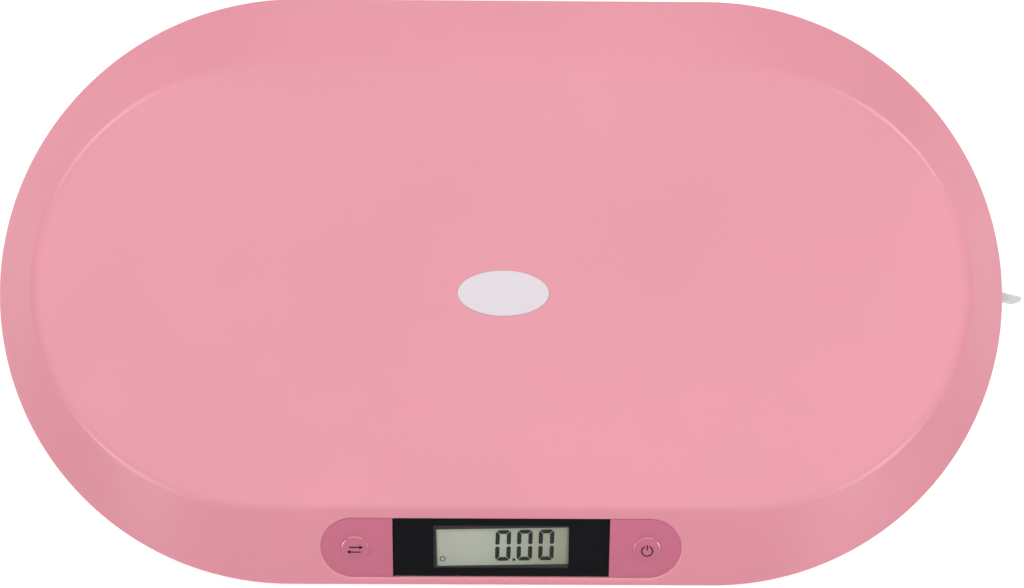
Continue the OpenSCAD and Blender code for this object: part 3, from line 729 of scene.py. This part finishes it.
key_radius = key_width / 2
boss_radius = 0.0025
flange_radius = 0.00905
boss_back = -0.00465
flange_back = -0.0037
flange_front = -0.00295
shoulder_width = 0.0012
shoulder_rise = 0.00055
dome_foot = 0.00005
dome_rise = 0.00045
key_edge = key_radius - shoulder_width


def dome_at(inward):
    """Height of the key's dome between its edge, 0, and its middle, 1."""
    return dome_foot + dome_rise * (1 - (1 - inward) ** 2)


key_levels = [(boss_radius, boss_back), (boss_radius, flange_back)]
key_levels += [(flange_radius, flange_back), (flange_radius, flange_front), (key_radius, flange_front)]
for step in range(7):
    turn = math.radians(15 * step)
    key_levels.append(
        (key_edge + shoulder_width * math.cos(turn), panel_face + shoulder_rise * math.sin(turn))
    )
key_levels += [(key_edge * (1 - step / 12), dome_at(step / 12)) for step in range(1, 12)]
key_levels.append((0.0001, dome_at(1)))
key_finish = moulded("glossy_rose_key", panel_rose, 0.12, grain=0.015, grain_size=700, vary=0.02)
key_shader = key_finish.node_tree.nodes["Principled BSDF"]
key_shader.inputs["Coat Weight"].default_value = 1.0
key_shader.inputs["Coat Roughness"].default_value = 0.04
key_shape = turned(key_levels)
for name, side in (("unit", -1), ("tare", 1)):
    key = on_skirt(copied(key_shape, (side * key_place, key_down, 0)))
    settle(key, f"{name}_key_cap", f"{name}_key", "panel_plastic", key_finish, f"{name}_button")
bpy.data.objects.remove(key_shape)

# a plain printed sign on each key: two arrows on the left one, the usual
# on and off sign on the right one
sign_finish = moulded("key_print", (0.012, 0.004, 0.006), 0.5, vary=0.1)
sign_finish.node_tree.nodes["Principled BSDF"].inputs["Specular IOR Level"].default_value = 0.2


def printed(parts, side, name):
    """Joins flat parts and lays them on the key's dome."""
    only(parts[0])
    for part in parts:
        part.select_set(True)
    bpy.ops.object.join()
    sign = parts[0]
    edit(sign)
    bpy.ops.mesh.select_all(action="SELECT")
    bpy.ops.mesh.subdivide(number_cuts=2)
    bpy.ops.object.mode_set(mode="OBJECT")
    for v in sign.data.vertices:
        v.co.z += dome_at(1 - min(1.0, math.hypot(v.co.x, v.co.y) / key_edge))
    sign.location = (side * key_place, key_down, 0)
    only(sign)
    bpy.ops.object.transform_apply(location=True, rotation=True, scale=True)
    on_skirt(sign)
    settle(sign, f"{name}_key_sign", f"{name}_key", "window_print", sign_finish)


sign_thick = 0.00006
sign_lift = 0.00002
sign_stroke = 0.0007
hoop_place = (0, -0.0002)
stem = block((sign_stroke, 0.0030, sign_thick), (0, 0.0019, sign_lift))
hoop = rod(0.0066, sign_lift - sign_thick / 2, sign_lift + sign_thick / 2, hoop_place, sides=40)
cut(hoop, rod(0.0052, -0.01, 0.01, hoop_place, sides=40))
cut(hoop, block((0.0024, 0.004, 0.01), (0, 0.0028, 0)))
printed([hoop, stem], 1, "tare")
arrow_offset = 0.0014
arrow_reach = 0.0031
arrows = []
for way in (-1, 1):
    shaft = block((0.0056, sign_stroke, sign_thick), (-way * 0.0003, way * arrow_offset, sign_lift))
    bpy.ops.object.select_all(action="DESELECT")
    bpy.ops.mesh.primitive_cylinder_add(
        vertices=3, radius=0.0014, depth=sign_thick,
        location=(way * arrow_reach, way * arrow_offset, sign_lift), rotation=(0, 0, -way * math.pi / 2),
    )
    head = bpy.context.object
    bpy.ops.object.transform_apply(location=True, rotation=True, scale=True)
    arrows += [shaft, head]
printed(arrows, -1, "unit")

# ---- Feet ------------------------------------------------------------------
# Four round feet in pale plastic, each on the tongue of a load cell, with a
# soft grey rubber pad pressed into its underside.
foot_finish = moulded("pale_foot_plastic", (0.70, 0.70, 0.72), 0.45, grain=0.15, grain_size=1600)
pad_finish = moulded("grey_pad_rubber", (0.14, 0.14, 0.15), 0.8, grain=0.5, grain_size=2200, vary=0.08)
foot_out = 0.17            # from the tray's middle, along
foot_aside = 0.095         # and across
# radius and height of each level, from the pad's seat out, up the side and to the peg
foot_levels = [
    (0.0126, 0.0022), (0.013, 0.0022), (0.013, 0.0016), (0.0132, 0.0014), (0.0151, 0.0014),
    (0.0156, 0.00165), (0.016, 0.0022), (0.016, 0.0064), (0.01585, 0.0069), (0.0154, 0.0073),
    (0.0146, 0.0074), (0.0048, 0.0074), (0.0048, 0.0118), (0.0045, 0.012),
]
pad_levels = [(0.009, 0.0), (0.0119, 0.0), (0.0124, 0.00015), (0.0128, 0.0006), (0.0128, 0.0022)]
foot_shape = turned(foot_levels)
pad_shape = turned(pad_levels)
edit(pad_shape)
# a shallow hollow in the middle and a ring round it, so that the pad grips
pick(pad_shape, "FACE", lambda f: f.normal.z < -0.9 and f.calc_area() > 1e-4)
bpy.ops.mesh.inset(thickness=0.0022)
bpy.ops.mesh.inset(thickness=0.0006)
bpy.ops.transform.translate(value=(0, 0, 0.0006))
bpy.ops.object.mode_set(mode="OBJECT")
for corner, along, aside in (("fl", -1, -1), ("fr", 1, -1), ("bl", -1, 1), ("br", 1, 1)):
    place = (tray_mid + along * foot_out, aside * foot_aside, 0)
    foot = copied(foot_shape, place)
    settle(foot, f"foot_{corner}_cup", "scale", "foot_plastic", foot_finish, f"foot_{corner}")
    pad = copied(pad_shape, place)
    settle(pad, f"foot_{corner}_pad", "scale", "pad_rubber", pad_finish, f"foot_pad_{corner}")
bpy.data.objects.remove(foot_shape)
bpy.data.objects.remove(pad_shape)

# ---- Battery door ----------------------------------------------------------
# A flat pink lid under the scale, hung on two pins along its front edge, with
# three finger grooves near the free edge.
door = welded_copy("battery_door")
soften(door, 0.0002)
settle(door, "battery_lid", "bay_door", "shell_plastic", shell_finish, "battery_door", smooth=30)
modify(door, "WEIGHTED_NORMAL", keep_sharp=True)

# ---- Measuring tape --------------------------------------------------------
# A coated cloth tape on a spring drum inside the right end. It leaves by a
# mouth in the lower shell and ends in a small white pull tab.
outlet = welded_copy("tape_outlet")
soften(outlet, 0.0002)
settle(outlet, "tape_mouth", "scale", "shell_plastic", shell_finish, "tape_outlet", smooth=30)
modify(outlet, "WEIGHTED_NORMAL", keep_sharp=True)

tab_turn = math.radians(-12.5)
tab_root = (0.26891, -0.0016)
tab_middle = 0.018         # its height over the floor
tab_length = 0.0096
tab_thickness = 0.0037
tab_height = 0.0126
tip_length = 0.0015
neck_length = 0.0033
tab = block((tab_length, tab_thickness, tab_height), (0.0082, 0, tab_middle))
edit(tab)
# the tip is cut off at one corner only
pick(tab, "FACE", lambda f: f.normal.x > 0.9)
bpy.ops.mesh.extrude_region_move(TRANSFORM_OT_translate={"value": (tip_length, 0, 0)})
bpy.ops.transform.resize(value=(1, 0.6, 1), center_override=(0.0145, tab_thickness / 2, tab_middle))
pick(tab, "FACE", lambda f: f.normal.x < -0.9)
bpy.ops.mesh.inset(thickness=0.0007)
bpy.ops.mesh.extrude_region_move(TRANSFORM_OT_translate={"value": (-neck_length, 0, 0)})
bpy.ops.object.mode_set(mode="OBJECT")
face_out(tab)
soften(tab, 0.0003, segments=3)
# the seam where its two halves close over the end of the tape
seam_width = 0.0003
seam_depth = 0.0008
for height in (tab_middle + 0.0064, tab_middle - 0.0064):
    cut(tab, block((0.0125, seam_width, seam_depth), (0.0100, 0, height)))
cut(tab, block((seam_depth, seam_width, 0.014), (0.0146, 0.0004, tab_middle)))
tab.rotation_euler = (0, 0, tab_turn)
tab.location = (*tab_root, 0)
only(tab)
bpy.ops.object.transform_apply(location=True, rotation=True, scale=True)
tape_slot = block((0.0080, 0.00046, 0.02), (0.27012, -0.001, tab_middle))
cut(tab, tape_slot)
tab_finish = moulded("white_tab_plastic", (0.58, 0.58, 0.59), 0.33, grain=0.06, grain_size=900)
settle(tab, "pull_tab", "tape_pull_end", "tab_plastic", tab_finish, "tape_tab")
modify(tab, "WEIGHTED_NORMAL", keep_sharp=True)

tape_low_corner, tape_high_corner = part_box("tape_blade")
tape_middle = (tape_low_corner + tape_high_corner) / 2
tape_size = tape_high_corner - tape_low_corner
blade = block(tuple(tape_size), tuple(tape_middle))
edit(blade)
pick(blade, "EDGE", lambda e: abs(e.verts[0].co.x - e.verts[1].co.x) > 0.01)
bpy.ops.mesh.subdivide(number_cuts=24)
bpy.ops.object.mode_set(mode="OBJECT")
tape_finish, tree, shader, place = new_finish("coated_tape", roughness=0.5)
along = tree.nodes.new("ShaderNodeSeparateXYZ")
tree.links.new(place, along.inputs["Vector"])


def arithmetic(tree, operation, first, second):
    """One sum on a pattern."""
    node = tree.nodes.new("ShaderNodeMath")
    node.operation = operation
    for socket, value in zip(node.inputs, (first, second)):
        if isinstance(value, (int, float)):
            socket.default_value = value
        else:
            tree.links.new(value, socket)
    return node.outputs["Value"]


def tick(step, wide, reach):
    """Lines up from the tape's lower edge, one every step along it."""
    turn = arithmetic(tree, "PINGPONG", arithmetic(tree, "ADD", along.outputs["X"], 2.0), step / 2)
    line = arithmetic(tree, "LESS_THAN", turn, wide / 2)
    low = arithmetic(tree, "LESS_THAN", along.outputs["Z"], tape_edge + reach)
    return arithmetic(tree, "MULTIPLY", line, low)


tape_edge = 0.013
long_ticks = tick(step=0.01, wide=0.0005, reach=0.006)
short_ticks = tick(step=0.002, wide=0.0003, reach=0.0025)
marks = arithmetic(tree, "MAXIMUM", long_ticks, short_ticks)
cloth = mottle(tree, place, 900)
cream = shades(tree, cloth, (0.3, (0.80, 0.76, 0.55)), (0.7, (0.86, 0.82, 0.62)))
ink = tree.nodes.new("ShaderNodeMix")
ink.data_type = "RGBA"
tree.links.new(marks, ink.inputs[0])
tree.links.new(cream, ink.inputs[6])
ink.inputs[7].default_value = (0.03, 0.03, 0.03, 1)
tree.links.new(ink.outputs[2], shader.inputs["Base Color"])
relief(tree, shader, cloth, strength=0.15, depth=0.0001)
only(blade)
blade.name = "tape_strip"
blade.data.materials.append(tape_finish)
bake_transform(blade)
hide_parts("tape_blade")

# ---- Load cells ------------------------------------------------------------
# Four stamped steel plates in the lower shell, each with a tongue over its foot.
# Two small strain gauges are potted on every tongue in white resin.


def dress(finish, *names):
    """Gives these CAD nodes a finish."""
    for name in names:
        for material_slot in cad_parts[name].material_slots:
            material_slot.material = finish


def plated(name, colour, roughness, scale, stretch=(1, 1, 1)):
    """Plated or rolled metal with fine drawing lines."""
    finish, tree, shader, place = new_finish(name, metallic=1.0)
    lines = mottle(tree, stretched(tree, place, stretch), scale, detail=4)
    tree.links.new(
        shades(tree, lines, (0.3, tone(colour, 0.88)), (0.7, tone(colour, 1.06))),
        shader.inputs["Base Color"],
    )
    tree.links.new(
        spread(tree, lines, low=roughness - 0.06, high=roughness + 0.08, start=0.3, stop=0.7),
        shader.inputs["Roughness"],
    )
    relief(tree, shader, lines, strength=0.08, depth=0.00005)
    return finish


steel = plated("rolled_steel", (0.55, 0.56, 0.58), 0.35, scale=90, stretch=(1, 12, 1))
white_resin = moulded("white_resin", (0.80, 0.79, 0.74), 0.5)
dress(steel, "load_cell_fl", "load_cell_fr", "load_cell_bl", "load_cell_br")
dress(white_resin, "strain_gauges")

# ---- Circuit board ---------------------------------------------------------
# A green board behind the panel. It carries its chip under a drop of black resin,
# the two key switches and the plugs, and rubber strips join it to the display.
board_finish, tree, shader, place = new_finish("green_board", roughness=0.35)
tracks = tree.nodes.new("ShaderNodeTexBrick")
tracks.inputs["Scale"].default_value = 160
tracks.inputs["Mortar Size"].default_value = 0.04
tracks.inputs["Color1"].default_value = (0.010, 0.115, 0.045, 1)
tracks.inputs["Color2"].default_value = (0.012, 0.135, 0.055, 1)
tracks.inputs["Mortar"].default_value = (0.03, 0.22, 0.09, 1)
tree.links.new(place, tracks.inputs["Vector"])
tree.links.new(tracks.outputs["Color"], shader.inputs["Base Color"])
relief(tree, shader, tracks.outputs["Fac"], strength=0.2, depth=0.00003)
dress(board_finish, "main_board")
dress(moulded("black_resin_drop", (0.012, 0.012, 0.012), 0.2, grain=0.3, grain_size=500), "cob_chip")
dress(moulded("black_switch", (0.02, 0.02, 0.022), 0.45), "unit_switch", "tare_switch")
dress(white_resin, "board_connectors", "unit_plunger", "tare_plunger")
dress(moulded("contact_rubber", (0.62, 0.50, 0.42), 0.7, grain=0.3), "zebra_strips")

# ---- Battery cells ---------------------------------------------------------
# Four slim cells in the bay behind the door, each held between a coil spring and
# a contact plate of nickel plated steel. They wear a plain two-tone sleeve.
nickel = plated("nickel_contact", (0.72, 0.70, 0.64), 0.22, scale=900)
dress(nickel, "battery_springs", "battery_plates")
for number in (1, 2, 3, 4):
    low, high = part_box(f"battery_{number}")
    sleeve, tree, shader, place = new_finish(f"cell_sleeve_{number}", metallic=0.6)
    part = tree.nodes.new("ShaderNodeSeparateXYZ")
    tree.links.new(place, part.inputs["Vector"])
    way = 1 if number % 2 else -1
    near, far = (low.y, high.y) if way == 1 else (high.y, low.y)
    share = spread(tree, part.outputs["Y"], low=0.0, high=1.0, start=near, stop=far)
    tree.links.new(
        shades(
            tree, share, (0.0, (0.55, 0.55, 0.55)), (0.03, (0.04, 0.045, 0.055)),
            (0.66, (0.05, 0.055, 0.065)), (0.68, (0.50, 0.40, 0.22)), (0.96, (0.52, 0.42, 0.24)),
            (0.975, (0.6, 0.6, 0.6)),
        ),
        shader.inputs["Base Color"],
    )
    tree.links.new(
        spread(tree, mottle(tree, place, 300), low=0.22, high=0.34), shader.inputs["Roughness"]
    )
    dress(sleeve, f"battery_{number}")

# ---- Tape drum -------------------------------------------------------------
# A dark case of two halves in the right end, with a pale reel on a steel axle.
# The tape is wound round its hub, and a blued flat spring inside the hub pulls it back.
spring_steel = plated("blued_spring", (0.30, 0.33, 0.40), 0.3, scale=120, stretch=(1, 1, 20))
dress(steel, "tape_axle")
dress(spring_steel, "tape_spring")
dress(moulded("dark_tape_case", (0.035, 0.035, 0.04), 0.5, grain=0.3), "tape_case_lower", "tape_case_upper")
dress(moulded("reel_plastic", (0.74, 0.72, 0.66), 0.45), "tape_reel")
coil_finish, tree, shader, place = new_finish("wound_tape", roughness=0.55)
drum = stretched(tree, place, shift=(-0.226, -0.0128, 0))     # rings round the axle
wraps = tree.nodes.new("ShaderNodeTexWave")
wraps.wave_type = "RINGS"
wraps.rings_direction = "Z"
wraps.inputs["Scale"].default_value = 380
tree.links.new(drum, wraps.inputs["Vector"])
tree.links.new(
    shades(tree, wraps.outputs["Fac"], (0.1, (0.45, 0.42, 0.28)), (0.5, (0.84, 0.80, 0.60))),
    shader.inputs["Base Color"],
)
relief(tree, shader, wraps.outputs["Fac"], strength=0.5, depth=0.0002)
dress(coil_finish, "tape_coil")

# ---- Screws and leads ------------------------------------------------------
# Zinc plated screws hold the tray, the board and the drum's case. Grey cables run
# from the load cells to the board, and red leads from the battery bay.
screw_steel = plated("zinc_screw", (0.60, 0.59, 0.56), 0.32, scale=1500)
dress(screw_steel, "board_screws", "case_screws", "tape_case_screws")
dress(moulded("grey_wire", (0.50, 0.50, 0.52), 0.55, grain=0.2), "sensor_cables")
dress(moulded("red_wire", (0.40, 0.02, 0.02), 0.5, grain=0.2), "battery_leads")

# ---- Floor, light and camera -----------------------------------------------
# A plain pale studio floor, soft white light from above and from the corners,
# and the camera of the photograph, almost straight above.
bpy.ops.object.select_all(action="DESELECT")
bpy.ops.mesh.primitive_plane_add(size=24, location=(0, 0, 0))
floor = bpy.context.object
floor.name = "studio_floor"
floor_finish, tree, shader, place = new_finish("pale_floor", roughness=0.9)
tree.links.new(
    shades(tree, mottle(tree, place, 3), (0.3, (0.90, 0.90, 0.90)), (0.7, (0.93, 0.93, 0.93))),
    shader.inputs["Base Color"],
)
shader.inputs["Specular IOR Level"].default_value = 0.1
shader.inputs["Emission Color"].default_value = (1, 1, 1, 1)
# it glows a little, and more where the lights no longer reach
away = tree.nodes.new("ShaderNodeVectorMath")
away.operation = "LENGTH"
tree.links.new(place, away.inputs[0])
tree.links.new(
    spread(tree, away.outputs["Value"], low=0.3, high=0.95, start=1.0, stop=2.4),
    shader.inputs["Emission Strength"],
)
floor.data.materials.append(floor_finish)

scene = bpy.context.scene
scene.view_settings.view_transform = "Standard"
world = bpy.data.worlds.new("studio")
world.use_nodes = True
room = world.node_tree
sky = room.nodes.new("ShaderNodeSeparateXYZ")
room.links.new(room.nodes.new("ShaderNodeTexCoord").outputs["Generated"], sky.inputs["Vector"])
# the room is light near the floor and dim above
walls = shades(
    room, sky.outputs["Z"],
    (0.0, (0.60, 0.60, 0.60)), (0.04, (0.50, 0.50, 0.50)), (0.10, (0.13, 0.13, 0.13)),
)
room.links.new(walls, room.nodes["Background"].inputs["Color"])
room.nodes["Background"].inputs["Strength"].default_value = 1.0
# the backdrop itself is plain and pale
backdrop = room.nodes.new("ShaderNodeBackground")
backdrop.inputs["Color"].default_value = (0.95, 0.95, 0.95, 1)
behind = room.nodes.new("ShaderNodeMixShader")
room.links.new(room.nodes.new("ShaderNodeLightPath").outputs["Is Camera Ray"], behind.inputs[0])
room.links.new(room.nodes["Background"].outputs["Background"], behind.inputs[1])
room.links.new(backdrop.outputs["Background"], behind.inputs[2])
room.links.new(behind.outputs["Shader"], room.nodes["World Output"].inputs["Surface"])
scene.world = world


def softbox(name, place, size, power):
    """A square light aimed at the scale."""
    light = bpy.data.lights.new(name, "AREA")
    light.shape = "SQUARE"
    light.size = size
    light.energy = power
    lamp = bpy.data.objects.new(name, light)
    lamp.location = place
    lamp.rotation_euler = (Vector((0, 0, 0.03)) - Vector(place)).to_track_quat("-Z", "Y").to_euler()
    scene.collection.objects.link(lamp)


softbox("overhead", (0.0, 0.0, 2.6), size=2.2, power=27)
softbox("back", (0.0, 2.2, 1.7), size=1.4, power=10)
corners = {
    "back_left": (-1.3, 1.1), "back_right": (1.3, 1.1),
    "front_left": (-1.3, -1.1), "front_right": (1.3, -1.1),
}
for name, place in corners.items():
    softbox(name, (*place, 1.3), size=0.7, power=13)

lens_length = 62.47        # millimetres, fitted to the photograph with the place and turn below
camera = bpy.data.objects.new("camera", bpy.data.cameras.new("camera"))
camera.data.sensor_fit = "HORIZONTAL"
camera.data.sensor_width = 36
camera.data.lens = lens_length
camera.data.clip_start = 0.05
camera.data.clip_end = 50
camera_place = Matrix.Translation((-0.01023, -0.09739, 1.007))
camera_turn = (
    Matrix.Rotation(math.radians(-0.56), 4, "Y")
    @ Matrix.Rotation(math.radians(5.49), 4, "X")
    @ Matrix.Rotation(math.radians(0.26), 4, "Z")
)
camera.matrix_world = camera_place @ camera_turn
scene.collection.objects.link(camera)
scene.camera = camera
